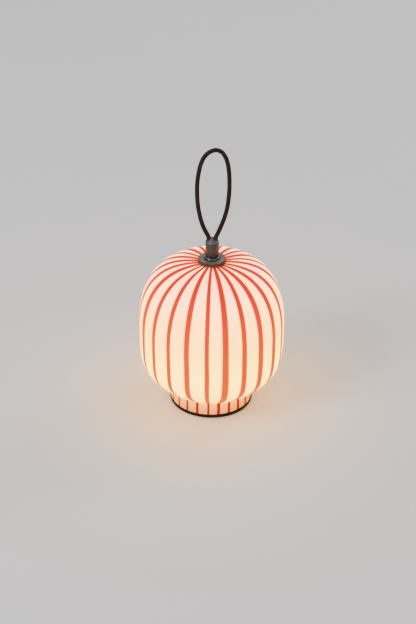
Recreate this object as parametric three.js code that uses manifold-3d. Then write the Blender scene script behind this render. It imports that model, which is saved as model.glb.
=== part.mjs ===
// Portable lantern lamp: a striped opal glass globe with a straight neck, a rechargeable base inside
// the neck, and a swivelling carrying post with a braided cord loop on top.
// Millimetres, +Z up. The origin is on the floor, on the lamp's axis.
import * as THREE from "three";
import { mergeVertices } from "three/addons/utils/BufferGeometryUtils.js";
import Module from "manifold-3d";

const wasm = await Module();
wasm.setup();

// ---- driving dimensions ----
const SEAT_GAP = 0.1; // between faces that rest on each other
const FIT = 0.3; // radial clearance of a shank in its hole and of a part in its recess
const RUNNING_FIT = 0.35; // radial clearance of parts that turn

const GLOBE_RADIUS = 89;
const EQUATOR_ABOVE_NECK = 88.7;
const DOME_RISE = 84; // from the equator to the flat seat round the top hole
const GLASS_WALL = 3;
const NECK_RADIUS = 50.3;
const NECK_LENGTH = 15.9;
const NECK_FILLET = 2.5;
const SEAT_MARGIN = 0.5; // how far the flat seat round the glass's top hole reaches past the nut
const DOME_SLOPE = 0.01; // radians below level where the dome leaves the seat
const DOME_HANDLES = [74.5, 30]; // pull of the dome's curve at the equator and at the seat
const BELLY_SLOPE = 0.666; // radians above level where the belly leaves the neck
const BELLY_HANDLES = [58, 47.7]; // pull of the belly's curve at the equator and at the neck

const FOOT_HEIGHT = 1.7;
const FOOT_INSET = 3.2; // from the plate's rim to the foot ring
const FOOT_WIDTH = 5;
const FLOOR_CLEARANCE = 1; // from the floor to the underside of the plate
const PLATE_THICKNESS = 2.6;
const PLATE_OVERHANG = 0.9; // how far the plate's rim stands out past the neck
const SEAL_THICKNESS = 0.8;

const CUP_CLEARANCE = 3.7; // from the cup to the inside of the neck
const CUP_WALL = 1.8;
const CUP_FLOOR = 1.8;
const PILLAR_RADIUS = 3.6;
const PILLAR_INSET = 6; // from the cup's outside to a pillar's axis
const CELL_RADIUS = 9.15;
const CELL_LENGTH = 65;
const CELL_TERMINAL = { radius: 3, height: 1.2 };
const CELL_GAP = 0.4;
const CELL_STOP = 1.6; // thickness of the ribs at the cells' ends
const PAD_THICKNESS = 0.8;
const PAD_MARGIN = 4; // from the cells' edges in to the pad's
const DECK_THICKNESS = 2;

const BOARD = { length: 36, width: 13, thickness: 1.6, height: 6.4, fromWall: 2 };
const BOARD_POST_RADIUS = 1.8;
const SOCKET = { x: -8, width: 9, depth: 3.3, wall: 0.35, cavity: 6 };
const TONGUE = { width: 6.7, thickness: 0.7, fromMouth: 0.8, root: 0.5 }; // the socket's contact tongue
const SOCKET_RECESS = 1.4; // from the underside of the plate up to the socket's mouth
const BUTTON = { x: 8, radius: 4, collarWidth: 1.4, collarHeight: 1, travel: 1, recess: 0.5 };
const SWITCH = { side: 6, plunger: 1.7, plungerLength: 0.8 };
const DRIVER = { x: -9, side: 5, height: 1 };
const COIL = { x: 8, side: 6, height: 2.5 };

const SCREW_SHANK = 1.4;
const SCREW_HEAD = 2.7;
const SCREW_HEAD_HEIGHT = 1.4;
const SCREW_LENGTH = 9;
const SCREW_COUNT = 4;
const SOCKET_OF_SHANK = 0.75; // a screw head's recess as a share of the shank's radius
const STEM_SCREW = { shank: 1, head: 1.9, headHeight: 1.2, length: 4, count: 3, circle: 7.6 };

const LED_BOARD = { fromStem: 3, fromDiffuser: 1.4, thickness: 1.2 };
const LED_RING = { inner: 19.5, outer: 25.5, thickness: 1 };
// the diffuser's dome leaves its skirt upright over flank (a share of its rise) and comes in level
// from crown (a share of its radius)
const DIFFUSER = { fromScrews: 0.9, wall: 1.6, skirt: 3, rise: 15, flank: 0.6, crown: 0.55 };
const LEAD = { radius: 1, fromCells: 4, steps: 12 };
const STEM_RADIUS = 4;
const STEM_BORE = 2.6;
const STEM_FOOT_RADIUS = 11;
const STEM_FOOT_HEIGHT = 2.5;
const COLLAR_HEIGHT = 6;

const BUSH_LEDGE = 0.7; // how far the bush's collar shows round the post
const BUSH_ROUND = 0.9; // rounding of the collar's top edge
const BUSH_ABOVE_NUT = 2.3; // how far the collar stands up out of the nut
const BUSH_WALL = 2;
const BUSH_FLANGE = 2.5;
const BUSH_SKIRT = 14.7; // how far the bush reaches below its flange
const BUSH_WEB = 11.9; // the thick upper length that the post's shank turns in
const GLASS_HOLE_FIT = 0.9; // round the bush, in the glass's top hole
const GASKET_THICKNESS = 0.8;
const GASKET_INSET = 0.5; // gaskets and washer stay this far inside the nut's edge
const PRESSURE_WASHER = 0.5;
const NUT_BAND = 7.95; // from the bush to the nut's outside
const NUT_HEIGHT = 4.4;
const KNURL_COUNT = 60;
const KNURL_DEPTH = 0.35;

const SHANK_RADIUS = 4.7;
const SHANK_BELOW_RING = 2;
const RING_THICKNESS = 1.1;
const RING_GROOVE = 0.8;
const RING_MOUTH = 3;
const THRUST_WASHER = 0.5;
const POST_HEIGHT = 19.3;
const CROWN_HEIGHT = 6.3;
const CROWN_FLAT = 0.8;

const EDGE = 0.4; // broken edge of turned and moulded parts

const CORD_RADIUS = 2.65;
const CORD_SIDES = 8;
const CORD_STEPS = 44;
const BORE_WEB = 0.7; // between the two bores at their bottoms
const BORE_WALL = 1.1; // between a bore's mouth and the outside of the post
const BORE_LEAN = 0.105; // radians that a bore leans outward
const BORE_DEPTH = 9;
const GRUB = { radius: 1.5, length: 4, below: 7.5, socket: 0.8, socketDepth: 1.5 };
// the loop's centreline above the crown, as [across, height above the post's shoulder]
const CORD_ROUTE = [
  [-4.7, 7], [-6.5, 10.5], [-9.3, 16.2], [-11.8, 22.8], [-13.8, 29.6], [-15.4, 36.8], [-16.7, 44.3],
  [-17.6, 52.1], [-18.1, 60.3], [-18.3, 68.5], [-18.1, 77], [-17.3, 85.8], [-15.9, 94.4],
  [-13.8, 103.2], [-10, 112], [-3.8, 118.4], [3.2, 121.1], [9.7, 119], [14.3, 113], [17.1, 105.3],
  [18.7, 96.7], [19.5, 87.9], [19.8, 79.1], [19.8, 70.1], [19.3, 61.3], [18.5, 52.7], [17.3, 44.6],
  [15.6, 36.8], [13.5, 29.6], [11.2, 22.9], [8.7, 16.3], [6.4, 10.5], [4.7, 7],
];

const FINE = 40; // facets of the large turned parts
const MEDIUM = 24;
const SMALL = 16;
const TINY = 10;

// ---- sizes and heights that follow from the dimensions ----
const boreRadius = CORD_RADIUS + FIT;
// from the axis to a bore's centre at its mouth
const boreOffset = boreRadius + BORE_WEB / 2 + BORE_DEPTH * Math.sin(BORE_LEAN);
const postRadius = boreOffset + boreRadius + BORE_WALL;
const bushRadius = postRadius + BUSH_LEDGE;
const nutRadius = bushRadius + NUT_BAND;
const seatRadius = nutRadius + SEAT_MARGIN;

const plateBottom = FLOOR_CLEARANCE;
const plateTop = plateBottom + PLATE_THICKNESS;
const sealBottom = plateTop + SEAT_GAP;
const lipZ = sealBottom + SEAL_THICKNESS + SEAT_GAP;
const neckTop = lipZ + NECK_LENGTH;
const equatorZ = neckTop + EQUATOR_ABOVE_NECK;
const seatZ = equatorZ + DOME_RISE;

const cupRadius = NECK_RADIUS - GLASS_WALL - CUP_CLEARANCE;
const cupBottom = plateTop + SEAT_GAP;
const cupFloor = cupBottom + CUP_FLOOR;
const cellY = CELL_RADIUS + CELL_GAP / 2;
const cellsSide = cellY + CELL_RADIUS;
const cellZ = cupFloor + SEAT_GAP + CELL_RADIUS;
const padBottom = cellZ + CELL_RADIUS + SEAT_GAP;
const deckBottom = padBottom + PAD_THICKNESS + SEAT_GAP;
const cupTop = deckBottom - SEAT_GAP;
const deckTop = deckBottom + DECK_THICKNESS;
const onDeck = deckTop + SEAT_GAP;
const pillarCircle = cupRadius - PILLAR_INSET;
const screwHole = SCREW_SHANK + FIT;
const plateRadius = NECK_RADIUS + PLATE_OVERHANG;
const footOuter = plateRadius - FOOT_INSET;
const footInner = footOuter - FOOT_WIDTH;
const diffuserRadius = pillarCircle - SCREW_HEAD - DIFFUSER.fromScrews;
const leadHole = [0, cellsSide + LEAD.fromCells];

// the board's outer corners lie on a circle inside the cup's wall
const boardReach = cupRadius - CUP_WALL - BOARD.fromWall;
const boardY = Math.sqrt(boardReach ** 2 - (BOARD.length / 2) ** 2) - BOARD.width / 2;
const boardBottom = cupFloor + BOARD.height;
const boardTop = boardBottom + BOARD.thickness;
const buttonCollarZ = cupFloor + FIT;
const switchTip = buttonCollarZ + BUTTON.collarHeight + BUTTON.travel + FIT;

const glassHole = bushRadius + GLASS_HOLE_FIT;
const innerGasketTop = seatZ - GLASS_WALL - SEAT_GAP;
const bushFlangeTop = innerGasketTop - GASKET_THICKNESS - SEAT_GAP;
const bushBottom = bushFlangeTop - BUSH_FLANGE - BUSH_SKIRT;
const outerGasketBottom = seatZ + SEAT_GAP;
const washerBottom = outerGasketBottom + GASKET_THICKNESS + SEAT_GAP;
const nutBottom = washerBottom + PRESSURE_WASHER + SEAT_GAP;
const nutTop = nutBottom + NUT_HEIGHT;
const nutBore = bushRadius + RUNNING_FIT;
const bushTop = nutTop + BUSH_ABOVE_NUT;
const webBottom = bushTop - BUSH_WEB;
const chamberRadius = bushRadius - BUSH_WALL;

const upperWasherBottom = bushTop + SEAT_GAP;
const postBottom = upperWasherBottom + THRUST_WASHER + SEAT_GAP;
const shoulderZ = postBottom + POST_HEIGHT;
const crownZ = shoulderZ + CROWN_HEIGHT;
const lowerWasherTop = webBottom - SEAT_GAP;
const ringTop = lowerWasherTop - THRUST_WASHER - SEAT_GAP;
const ringBottom = ringTop - RING_THICKNESS;
const shankBottom = ringBottom - SEAT_GAP - SHANK_BELOW_RING;
const shankHole = SHANK_RADIUS + FIT;
const grooveRadius = SHANK_RADIUS - RING_GROOVE;
const crownSlope = (postRadius - CROWN_FLAT) / CROWN_HEIGHT;
const boreMouthZ = shoulderZ + (postRadius - boreOffset) / crownSlope;

// ---- looks ----
function finish(color, roughness, metalness) {
  return new THREE.MeshStandardMaterial({ color, roughness, metalness });
}

const OPAL = finish(0xfbe3d0, 0.35, 0);
const GUNMETAL = finish(0x5a524c, 0.42, 0.9);
const BLACKENED = finish(0x24211f, 0.2, 0.9);
const BLACK_STEEL = finish(0x1e1d1b, 0.5, 0.6);
const RUBBER = finish(0x161616, 0.85, 0);
const SILICONE = finish(0xd9d6cf, 0.6, 0);
const ALUMINIUM = finish(0xc4c5c6, 0.35, 1);
const STEEL = finish(0xa9a9ab, 0.3, 1);
const NYLON = finish(0x2b2a28, 0.5, 0);
const WHITE_PLASTIC = finish(0xe9e8e4, 0.5, 0);
const CORD = finish(0x231614, 0.8, 0);
const CELL_WRAP = finish(0x3f6f8f, 0.4, 0.1);
const CIRCUIT_BOARD = finish(0x1f5a3a, 0.5, 0);
const BLACK_PLASTIC = finish(0x1a1a1a, 0.5, 0);
const LEAD_INSULATION = finish(0xb8402a, 0.6, 0);
const LED_PHOSPHOR = finish(0xf6c65a, 0.6, 0);

const lamp = new THREE.Group();
const swivel = new THREE.Group();
const nutGroup = new THREE.Group();
lamp.add(swivel, nutGroup);

function place(name, shape, material, parent = lamp) {
  const geometry = shape.isBufferGeometry ? shape : geometryOf(shape);
  const mesh = new THREE.Mesh(geometry, material);
  mesh.name = name;
  parent.add(mesh);
  return mesh;
}

// ---- shape helpers ----
function solid(geometry) {
  const bare = geometry.clone();
  bare.deleteAttribute("normal");
  bare.deleteAttribute("uv");
  const merged = mergeVertices(bare, 1e-4);
  const vertProperties = new Float32Array(merged.attributes.position.array);
  const triVerts = new Uint32Array(merged.index.array);
  return new wasm.Manifold(new wasm.Mesh({ numProp: 3, vertProperties, triVerts }));
}

function geometryOf(manifold) {
  const { vertProperties, triVerts } = manifold.getMesh();
  const geometry = new THREE.BufferGeometry();
  geometry.setAttribute("position", new THREE.BufferAttribute(new Float32Array(vertProperties), 3));
  geometry.setIndex(new THREE.BufferAttribute(new Uint32Array(triVerts), 1));
  geometry.computeVertexNormals();
  return geometry;
}

const join = (first, ...rest) => rest.reduce((whole, piece) => whole.add(piece), first);
const cut = (first, ...rest) => rest.reduce((whole, piece) => whole.subtract(piece), first);

// a turned body about Z from [radius, height] points that go round it anticlockwise
function turned(points, facets = MEDIUM) {
  const profile = points.map(([radius, height]) => new THREE.Vector2(radius, height));
  const geometry = new THREE.LatheGeometry(profile, facets);
  geometry.rotateX(Math.PI / 2);
  return solid(geometry);
}

function disc(radius, bottom, top, facets = MEDIUM) {
  return turned([[0, bottom], [radius, bottom], [radius, top], [0, top]], facets);
}

function ring(inner, outer, bottom, top, facets = MEDIUM) {
  return turned([[inner, bottom], [outer, bottom], [outer, top], [inner, top], [inner, bottom]], facets);
}

function block(width, depth, bottom, top, x = 0, y = 0) {
  const geometry = new THREE.BoxGeometry(width, depth, top - bottom);
  geometry.translate(x, y, (bottom + top) / 2);
  return solid(geometry);
}

// copies of a body, spaced evenly about Z
function around(body, count, radius, phase = 0) {
  return Array.from({ length: count }, (_, i) => {
    const angle = phase + (2 * Math.PI * i) / count;
    return body.translate([radius * Math.cos(angle), radius * Math.sin(angle), 0]);
  });
}

const onPillars = (body) => around(body, SCREW_COUNT, pillarCircle, Math.PI / 4);
const onStemFoot = (body) => around(body, STEM_SCREW.count, STEM_SCREW.circle, Math.PI / 2);

function bezier(start, startPull, endPull, end, steps) {
  const points = [start, startPull, endPull, end].map(([x, y]) => new THREE.Vector2(x, y));
  return new THREE.CubicBezierCurve(...points).getPoints(steps).map((p) => [p.x, p.y]);
}

// ---- glass ----
// the outside of the glass from the lip of the neck up to the edge of the top hole
function glassOutline() {
  const leave = [Math.cos(BELLY_SLOPE), Math.sin(BELLY_SLOPE)];
  const corner = [NECK_RADIUS, neckTop];
  const bellyStart = [corner[0] + NECK_FILLET * leave[0], corner[1] + NECK_FILLET * leave[1]];
  const fillet = bezier([NECK_RADIUS, neckTop - NECK_FILLET], corner, corner, bellyStart, 2);
  const belly = bezier(
    bellyStart,
    [corner[0] + BELLY_HANDLES[1] * leave[0], corner[1] + BELLY_HANDLES[1] * leave[1]],
    [GLOBE_RADIUS, equatorZ - BELLY_HANDLES[0]],
    [GLOBE_RADIUS, equatorZ],
    7,
  );
  const dome = bezier(
    [GLOBE_RADIUS, equatorZ],
    [GLOBE_RADIUS, equatorZ + DOME_HANDLES[0]],
    [seatRadius + DOME_HANDLES[1] * Math.cos(DOME_SLOPE), seatZ - DOME_HANDLES[1] * Math.sin(DOME_SLOPE)],
    [seatRadius, seatZ],
    10,
  );
  return [[NECK_RADIUS, lipZ], ...fillet, ...belly.slice(1), ...dome.slice(1), [glassHole, seatZ]];
}

// the same line moved inward by the wall, square to the line at each point
function inset(points, wall) {
  return points.map(([r, z], i) => {
    const before = points[Math.max(i - 1, 0)];
    const after = points[Math.min(i + 1, points.length - 1)];
    const length = Math.hypot(after[0] - before[0], after[1] - before[1]);
    return [r - (wall * (after[1] - before[1])) / length, z + (wall * (after[0] - before[0])) / length];
  });
}

function glassShade() {
  const outside = glassOutline();
  const inside = inset(outside, GLASS_WALL);
  const last = inside.length - 1;
  inside[last] = [glassHole, seatZ - GLASS_WALL];
  inside[last - 1] = [seatRadius, seatZ - GLASS_WALL];
  return turned([...outside, ...inside.reverse(), outside[0]], FINE);
}

function addGlass() {
  place("glass_shade", glassShade(), OPAL);
  const sealTop = sealBottom + SEAL_THICKNESS;
  place("lip_seal", ring(cupRadius + FIT, NECK_RADIUS, sealBottom, sealTop, FINE), RUBBER);
}

// ---- base ----
function footRing() {
  return turned([
    [footInner + EDGE, 0], [footOuter - EDGE, 0], [footOuter, EDGE], [footOuter, FOOT_HEIGHT],
    [footInner, FOOT_HEIGHT], [footInner, EDGE], [footInner + EDGE, 0],
  ], FINE);
}

function buttonHole(bottom, top) {
  return disc(BUTTON.radius + RUNNING_FIT, bottom, top, SMALL).translate([BUTTON.x, boardY, 0]);
}

function socketHole(bottom, top) {
  return block(SOCKET.width + 2 * FIT, SOCKET.depth + 2 * FIT, bottom, top, SOCKET.x, boardY);
}

function basePlate() {
  const grooveTop = FOOT_HEIGHT + FIT;
  const grooveInner = footInner - FIT;
  const grooveOuter = footOuter + FIT;
  const plate = turned([
    [0, plateBottom], [grooveInner, plateBottom], [grooveInner, grooveTop], [grooveOuter, grooveTop],
    [grooveOuter, plateBottom], [plateRadius - EDGE, plateBottom], [plateRadius, plateBottom + EDGE],
    [plateRadius, plateTop - EDGE], [plateRadius - EDGE, plateTop], [0, plateTop],
  ], FINE);
  const headRecess = disc(SCREW_HEAD + FIT, 0, plateBottom + SCREW_HEAD_HEIGHT + 2 * SEAT_GAP, SMALL);
  const screwPath = disc(screwHole, 0, cupTop, TINY);
  return cut(
    plate, ...onPillars(headRecess), ...onPillars(screwPath),
    buttonHole(0, cupFloor), socketHole(0, cupFloor),
  );
}

function batteryCup() {
  const inner = cupRadius - CUP_WALL;
  const shell = turned([
    [0, cupBottom], [cupRadius, cupBottom], [cupRadius, cupTop], [inner, cupTop], [inner, cupFloor],
    [0, cupFloor],
  ], FINE);
  const pillar = disc(PILLAR_RADIUS, cupFloor - SEAT_GAP, cupTop, TINY);
  const boardPost = disc(BOARD_POST_RADIUS, cupFloor - SEAT_GAP, boardBottom - SEAT_GAP, TINY);
  const boardPostX = BOARD.length / 2 - BOARD_POST_RADIUS;
  const boardPosts = [-boardPostX, boardPostX].map((x) => boardPost.translate([x, boardY, 0]));
  const stopX = (CELL_LENGTH + CELL_STOP) / 2 + FIT;
  const cellStop = block(CELL_STOP, 2 * cellY, cupFloor - SEAT_GAP, cellZ);
  const cellStops = [-stopX, stopX].map((x) => cellStop.translate([x, 0, 0]));
  return cut(
    join(shell, ...onPillars(pillar), ...boardPosts, ...cellStops),
    ...onPillars(disc(screwHole, 0, deckTop, TINY)), buttonHole(0, cupTop), socketHole(0, cupTop),
  );
}

function batteryCell(side) {
  const half = CELL_LENGTH / 2;
  const shoulder = half - CELL_TERMINAL.height;
  const body = turned([
    [0, -half], [CELL_RADIUS, -half], [CELL_RADIUS, shoulder], [CELL_TERMINAL.radius, shoulder],
    [CELL_TERMINAL.radius, half], [0, half],
  ], SMALL);
  return body.rotate([0, 90 * side, 0]).translate([0, side * cellY, cellZ]);
}

// a cap or socket screw about Z, its head above z = 0 and its shank below
function screw(shank, head, headHeight, length) {
  const recess = shank * SOCKET_OF_SHANK;
  const recessFloor = headHeight / 3;
  return turned([
    [0, -length], [shank, -length], [shank, 0], [head, 0], [head, headHeight], [recess, headHeight],
    [recess, recessFloor], [0, recessFloor],
  ], TINY);
}

function addScrews() {
  const standard = screw(SCREW_SHANK, SCREW_HEAD, SCREW_HEAD_HEIGHT, SCREW_LENGTH);
  const headSeat = plateBottom + SCREW_HEAD_HEIGHT + SEAT_GAP;
  const fromBelow = standard.rotate([180, 0, 0]).translate([0, 0, headSeat]);
  const fromAbove = standard.translate([0, 0, onDeck]);
  onPillars(fromBelow).forEach((body, i) => place(`base_screw_${i + 1}`, body, STEEL));
  onPillars(fromAbove).forEach((body, i) => place(`deck_screw_${i + 1}`, body, STEEL));
  const { shank, head, headHeight, length } = STEM_SCREW;
  const onFoot = onDeck + STEM_FOOT_HEIGHT + SEAT_GAP;
  const stemScrew = screw(shank, head, headHeight, length).translate([0, 0, onFoot]);
  onStemFoot(stemScrew).forEach((body, i) => place(`stem_screw_${i + 1}`, body, STEEL));
}

function addBase() {
  place("foot_ring", footRing(), RUBBER);
  place("base_plate", basePlate(), BLACK_STEEL);
  place("battery_cup", batteryCup(), WHITE_PLASTIC);
  place("battery_cell_front", batteryCell(-1), CELL_WRAP);
  place("battery_cell_rear", batteryCell(1), CELL_WRAP);
  const padLength = CELL_LENGTH - 2 * PAD_MARGIN;
  const padWidth = 2 * (cellsSide - PAD_MARGIN);
  place("cell_pad", block(padLength, padWidth, padBottom, padBottom + PAD_THICKNESS), RUBBER);
}

// ---- electronics ----
function controlBoard() {
  const board = block(BOARD.length, BOARD.width, boardBottom, boardTop, 0, boardY);
  const [driver, coil] = [DRIVER, COIL].map(({ x, side, height }) =>
    block(side, side, boardTop - SEAT_GAP, boardTop + height, x, boardY));
  return join(board, driver, coil);
}

function usbSocket() {
  const bottom = plateBottom + SOCKET_RECESS;
  const top = boardBottom - SEAT_GAP;
  const { x, width, depth, wall, cavity } = SOCKET;
  const shell = block(width, depth, bottom, top, x, boardY);
  const hollow = block(width - 2 * wall, depth - 2 * wall, bottom - 1, bottom + cavity, x, boardY);
  const tongueTop = bottom + cavity + TONGUE.root;
  const tongue = block(TONGUE.width, TONGUE.thickness, bottom + TONGUE.fromMouth, tongueTop, x, boardY);
  return join(cut(shell, hollow), tongue);
}

function tactSwitch() {
  const bodyBottom = switchTip + SWITCH.plungerLength;
  const body = block(SWITCH.side, SWITCH.side, bodyBottom, boardBottom - SEAT_GAP, BUTTON.x, boardY);
  const plunger = disc(SWITCH.plunger, switchTip, bodyBottom + SEAT_GAP, TINY);
  return join(body, plunger.translate([BUTTON.x, boardY, 0]));
}

function powerButton() {
  const { x, radius, collarWidth, collarHeight, recess } = BUTTON;
  const bottom = plateBottom + recess;
  const collar = radius + collarWidth;
  const cap = turned([
    [0, bottom + EDGE], [radius - 2 * EDGE, bottom], [radius, bottom + EDGE], [radius, buttonCollarZ],
    [collar, buttonCollarZ], [collar, buttonCollarZ + collarHeight], [0, buttonCollarZ + collarHeight],
  ], SMALL);
  return cap.translate([x, boardY, 0]);
}

function ledLead() {
  const [x, y] = leadHole;
  const route = [
    [x + 1, boardY - 3, boardTop + SEAT_GAP],
    [x + 1, boardY - 3, boardTop + 3],
    [x + 0.6, y + 2, boardTop + 6],
    [x, y, deckBottom - 2],
    [x, y, deckTop - SEAT_GAP],
  ];
  const path = new THREE.CatmullRomCurve3(route.map((p) => new THREE.Vector3(...p)));
  return tube(path, LEAD.radius, CORD_SIDES, LEAD.steps);
}

function tube(path, radius, sides, steps) {
  const section = new THREE.Shape();
  for (let i = 0; i < sides; i++) {
    const angle = (2 * Math.PI * i) / sides;
    section[i ? "lineTo" : "moveTo"](radius * Math.cos(angle), radius * Math.sin(angle));
  }
  section.closePath();
  return solid(new THREE.ExtrudeGeometry(section, { steps, extrudePath: path, bevelEnabled: false }));
}

function deckPlate() {
  return cut(
    disc(cupRadius, deckBottom, deckTop, FINE), ...onPillars(disc(screwHole, 0, deckTop + 1, TINY)),
    ...onStemFoot(disc(STEM_SCREW.shank + FIT, 0, deckTop + 1, TINY)),
    disc(LEAD.radius + FIT, 0, deckTop + 1, TINY).translate([...leadHole, 0]),
  );
}

function diffuserDome() {
  const { wall, skirt, rise, flank, crown } = DIFFUSER;
  const hole = STEM_RADIUS + FIT;
  const start = onDeck + skirt;
  const crownX = diffuserRadius * crown;
  const line = (inward, drop) => bezier(
    [diffuserRadius - inward, start], [diffuserRadius - inward, start + rise * flank - inward / 2],
    [crownX, start + rise - drop], [hole, start + rise - drop], 6,
  );
  const lip = [diffuserRadius - wall, onDeck];
  return turned([lip, [diffuserRadius, onDeck], ...line(0, 0), ...line(wall, wall).reverse(), lip]);
}

function addElectronics() {
  place("control_board", controlBoard(), CIRCUIT_BOARD);
  place("usb_socket", usbSocket(), STEEL);
  place("tact_switch", tactSwitch(), BLACK_PLASTIC);
  place("power_button", powerButton(), RUBBER);
  place("led_lead", ledLead(), LEAD_INSULATION);
  place("deck_plate", deckPlate(), ALUMINIUM);
  const { fromStem, fromDiffuser, thickness } = LED_BOARD;
  const boardInner = STEM_FOOT_RADIUS + fromStem;
  const boardOuter = diffuserRadius - DIFFUSER.wall - fromDiffuser;
  place("led_board", ring(boardInner, boardOuter, onDeck, onDeck + thickness), WHITE_PLASTIC);
  const ledBottom = onDeck + thickness + SEAT_GAP;
  const ledTop = ledBottom + LED_RING.thickness;
  place("led_ring", ring(LED_RING.inner, LED_RING.outer, ledBottom, ledTop), LED_PHOSPHOR);
  place("diffuser_dome", diffuserDome(), WHITE_PLASTIC);
}

// ---- stem and top fitting ----
const collarBottom = bushBottom + SEAT_GAP;
const collarTop = collarBottom + COLLAR_HEIGHT;

function stem() {
  const footTop = onDeck + STEM_FOOT_HEIGHT;
  const tie = turned([
    [STEM_BORE, onDeck], [STEM_FOOT_RADIUS, onDeck], [STEM_FOOT_RADIUS, footTop], [STEM_RADIUS, footTop],
    [STEM_RADIUS, collarTop], [STEM_BORE, collarTop], [STEM_BORE, onDeck],
  ], SMALL);
  return cut(tie, ...onStemFoot(disc(STEM_SCREW.shank + FIT, 0, footTop + 1, TINY)));
}

function threadedBush() {
  const flangeBottom = bushFlangeTop - BUSH_FLANGE;
  return turned([
    [chamberRadius, bushBottom], [bushRadius, bushBottom], [bushRadius, flangeBottom],
    [nutRadius, flangeBottom], [nutRadius, bushFlangeTop], [bushRadius, bushFlangeTop],
    [bushRadius, bushTop - BUSH_ROUND], [bushRadius - BUSH_ROUND * 0.3, bushTop - BUSH_ROUND * 0.3],
    [bushRadius - BUSH_ROUND, bushTop], [shankHole, bushTop],
    [shankHole, webBottom], [chamberRadius, webBottom], [chamberRadius, bushBottom],
  ]);
}

function knurledNut() {
  const outline = new THREE.Shape();
  for (let i = 0; i < 2 * KNURL_COUNT; i++) {
    const radius = nutRadius - (i % 2) * KNURL_DEPTH;
    const angle = (Math.PI * i) / KNURL_COUNT;
    outline[i ? "lineTo" : "moveTo"](radius * Math.cos(angle), radius * Math.sin(angle));
  }
  outline.closePath();
  const blank = new THREE.ExtrudeGeometry(outline, { depth: NUT_HEIGHT, steps: 1, bevelEnabled: false });
  blank.translate(0, 0, nutBottom);
  return cut(solid(blank), disc(nutBore, nutBottom - 1, nutTop + 1));
}

function addTopFitting() {
  place("stem", stem(), ALUMINIUM);
  const collar = ring(STEM_RADIUS + FIT, chamberRadius - FIT, collarBottom, collarTop, SMALL);
  place("stem_collar", collar, STEEL);
  place("threaded_bush", threadedBush(), BLACKENED);
  const gasketOuter = nutRadius - GASKET_INSET;
  const flatRing = (bottom, thickness) => ring(nutBore, gasketOuter, bottom, bottom + thickness);
  place("inner_gasket", flatRing(innerGasketTop - GASKET_THICKNESS, GASKET_THICKNESS), SILICONE);
  place("outer_gasket", flatRing(outerGasketBottom, GASKET_THICKNESS), RUBBER);
  place("pressure_washer", flatRing(washerBottom, PRESSURE_WASHER), STEEL, nutGroup);
  place("knurled_nut", knurledNut(), GUNMETAL, nutGroup);
}

// ---- swivel post and cord ----
// a body about Z, moved so that z = 0 is at a bore's mouth and leaning outward as the bore does
function alongBore(body, side) {
  const lean = (side * BORE_LEAN * 180) / Math.PI;
  return body.rotate([0, lean, 0]).translate([side * boreOffset, 0, boreMouthZ]);
}

const grubZ = boreMouthZ - GRUB.below;
const grubX = boreOffset - GRUB.below * Math.tan(BORE_LEAN);

// a body about Z, turned to lie along +Y at a grub screw's place, its z = 0 against the cord
function atGrub(body, side) {
  return body.rotate([-90, 0, 0]).translate([side * grubX, CORD_RADIUS + FIT, grubZ]);
}

function swivelPost() {
  const body = turned([
    [0, shankBottom], [SHANK_RADIUS - EDGE, shankBottom], [SHANK_RADIUS, shankBottom + EDGE],
    [SHANK_RADIUS, ringBottom - SEAT_GAP], [grooveRadius, ringBottom - SEAT_GAP],
    [grooveRadius, ringTop + SEAT_GAP], [SHANK_RADIUS, ringTop + SEAT_GAP], [SHANK_RADIUS, postBottom],
    [postRadius - EDGE, postBottom], [postRadius, postBottom + EDGE], [postRadius, shoulderZ],
    [CROWN_FLAT, crownZ], [0, crownZ],
  ]);
  const bore = disc(boreRadius, -BORE_DEPTH, CROWN_HEIGHT, SMALL);
  const grubHole = disc(GRUB.radius + FIT / 2, -CORD_RADIUS, postRadius, TINY);
  return cut(body, ...[-1, 1].flatMap((side) => [alongBore(bore, side), atGrub(grubHole, side)]));
}

function cordPath() {
  const insertion = BORE_DEPTH - FIT;
  const ends = [insertion, insertion / 2, 0].map((depth) => [
    boreOffset - depth * Math.sin(BORE_LEAN), boreMouthZ - depth * Math.cos(BORE_LEAN),
  ]);
  const above = CORD_ROUTE.map(([x, rise]) => [x, shoulderZ + rise]);
  const points = [...ends.map(([x, z]) => [-x, z]), ...above, ...ends.reverse()];
  return new THREE.CatmullRomCurve3(points.map(([x, z]) => new THREE.Vector3(x, 0, z)));
}

function retainingRing() {
  const outer = chamberRadius - FIT;
  const band = ring(grooveRadius + FIT / 2, outer, ringBottom, ringTop, SMALL);
  return cut(band, block(outer, RING_MOUTH, ringBottom - 1, ringTop + 1, outer));
}

function addSwivel() {
  const washer = (outer, bottom) => ring(shankHole, outer, bottom, bottom + THRUST_WASHER);
  place("upper_thrust_washer", washer(bushRadius - BUSH_ROUND, upperWasherBottom), NYLON);
  place("lower_thrust_washer", washer(chamberRadius - FIT, lowerWasherTop - THRUST_WASHER), NYLON);
  place("retaining_ring", retainingRing(), STEEL, swivel);
  place("swivel_post", swivelPost(), GUNMETAL, swivel);
  const { radius, length, socket, socketDepth } = GRUB;
  const grub = turned([
    [0, 0], [radius, 0], [radius, length], [socket, length], [socket, length - socketDepth],
    [0, length - socketDepth],
  ], TINY);
  place("cord_grub_screw_left", atGrub(grub, -1), STEEL, swivel);
  place("cord_grub_screw_right", atGrub(grub, 1), STEEL, swivel);
  place("cord_loop", tube(cordPath(), CORD_RADIUS, CORD_SIDES, CORD_STEPS), CORD, swivel);
}

addBase();
addScrews();
addElectronics();
addGlass();
addTopFitting();
addSwivel();

export default lamp;
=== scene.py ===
import math

import bpy
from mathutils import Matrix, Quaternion, Vector


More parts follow.
